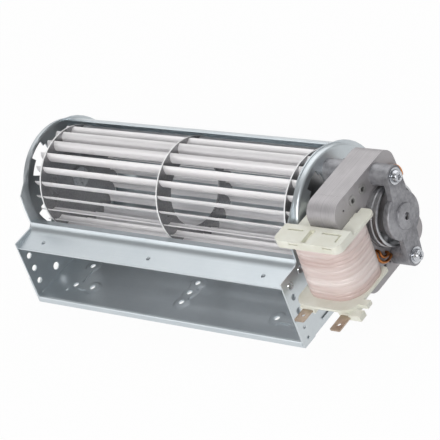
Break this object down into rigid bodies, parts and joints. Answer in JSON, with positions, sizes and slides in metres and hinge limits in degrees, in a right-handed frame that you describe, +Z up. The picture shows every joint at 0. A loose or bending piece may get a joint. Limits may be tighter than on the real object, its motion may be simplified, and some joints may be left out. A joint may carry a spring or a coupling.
{
  "type": "tangential blower",
  "caption": "Tangential blower with a bladed drum impeller in a folded sheet scroll, driven directly by a shaded-pole motor on one end plate.",
  "frame": {"origin": "on the underside of the outlet's floor sheet, below the middle of the impeller's axis", "axes": "+X along the impeller's axis towards the motor, -Y out of the outlet, +Z up from the floor"},
  "size_m": [0.2528, 0.1057, 0.0783],
  "materials": {
    "galvanised": "satin, blue-grey zinc",
    "impeller_strip": "satin",
    "zinc": "bright zinc plate",
    "steel": "turned",
    "lamination": "annealed sheet edges",
    "cast_metal": "cast",
    "die_cast": "bare zinc die casting",
    "rubber": "matt",
    "bronze": "sintered",
    "copper": "bare copper",
    "bobbin_plastic": "moulded",
    "coil_tape": "tape over enamelled copper wire",
    "tinned": "tin plate",
    "washer_plastic": "moulded"
  },
  "bodies": {
    "housing": {"scroll_sheet": "galvanised", "lip_plate": "galvanised", "left_end_plate": "galvanised", "right_end_plate": "galvanised", "lip_rivets": "zinc", "left_grommet": "rubber", "left_bush": "bronze", "stator_yoke": "lamination", "coil_core": "lamination", "shading_rings": "copper", "bobbin": "bobbin_plastic", "coil_winding": "coil_tape", "terminal_tabs": "tinned", "inner_bracket": "die_cast", "outer_bracket": "die_cast", "inner_bush": "bronze", "outer_bush": "bronze", "bracket_screws": "zinc", "bracket_washers": "zinc", "motor_screws": "zinc", "stack_rivets": "steel"},
    "rotor": {"impeller_blades": "impeller_strip", "left_end_disc": "impeller_strip", "middle_ring": "impeller_strip", "right_end_disc": "impeller_strip", "left_stub_shaft": "steel", "right_hub": "steel", "motor_shaft": "steel", "rotor_core": "lamination", "rotor_end_rings": "cast_metal", "thrust_washers": "washer_plastic"}
  },
  "joints": [
    {"name": "impeller_spin", "type": "hinge", "parent": "housing", "child": "rotor", "pos_m": [0, 0, 0.0415], "axis": [1, 0, 0], "continuous": true}
  ]
}
